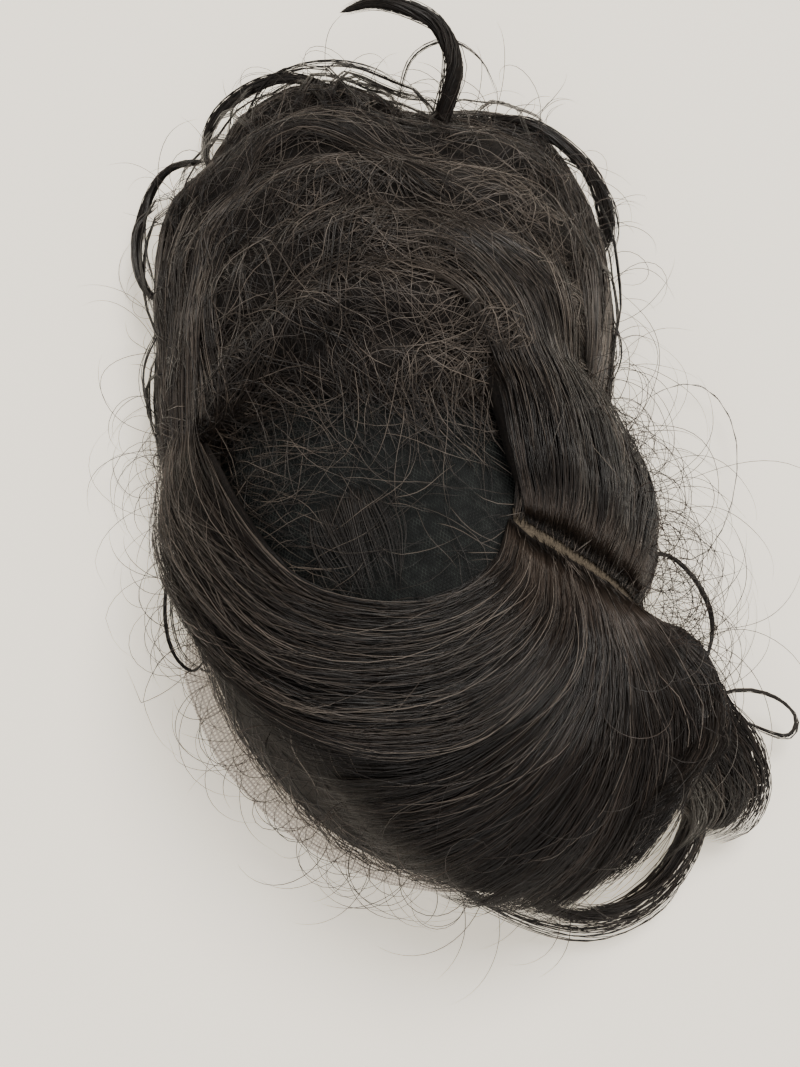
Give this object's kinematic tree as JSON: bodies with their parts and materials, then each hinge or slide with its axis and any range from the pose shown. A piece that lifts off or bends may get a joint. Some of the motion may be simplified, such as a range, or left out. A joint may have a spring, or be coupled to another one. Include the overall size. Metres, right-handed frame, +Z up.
{
  "type": "finger wave wig",
  "caption": "Short dark wavy wig with a lace front and a deep side parting, standing on its open rim with the back hair spread behind it.",
  "frame": {"origin": "under the middle of the whole wig, on the surface that it stands on", "axes": "+Z up, -Y towards the wearer's front, +X towards the wearer's left"},
  "size_m": [0.22, 0.353, 0.109],
  "materials": {
    "hair": "near-black brown hair with a soft sheen",
    "net": "fine dark knitted net",
    "lace": "translucent beige lace",
    "parting": "matte beige lace with hair roots"
  },
  "bodies": {
    "root": {"cap_net": "net", "lace_front": "lace", "part_strip": "parting", "crown_tuft": "hair", "hair_underlayer": "hair", "hair_sweep": "hair", "hair_fringe": "hair", "hair_side_fall": "hair", "hair_back": "hair", "curl_crown_loop": "hair", "curl_nape_arc": "hair", "curl_right_loop": "hair", "curl_left_loop": "hair", "curl_left_side": "hair", "curl_front": "hair", "curl_temple_puff": "hair", "lock_left_arc": "hair", "lock_left_loop": "hair", "lock_right_loop": "hair"}
  },
  "joints": []
}
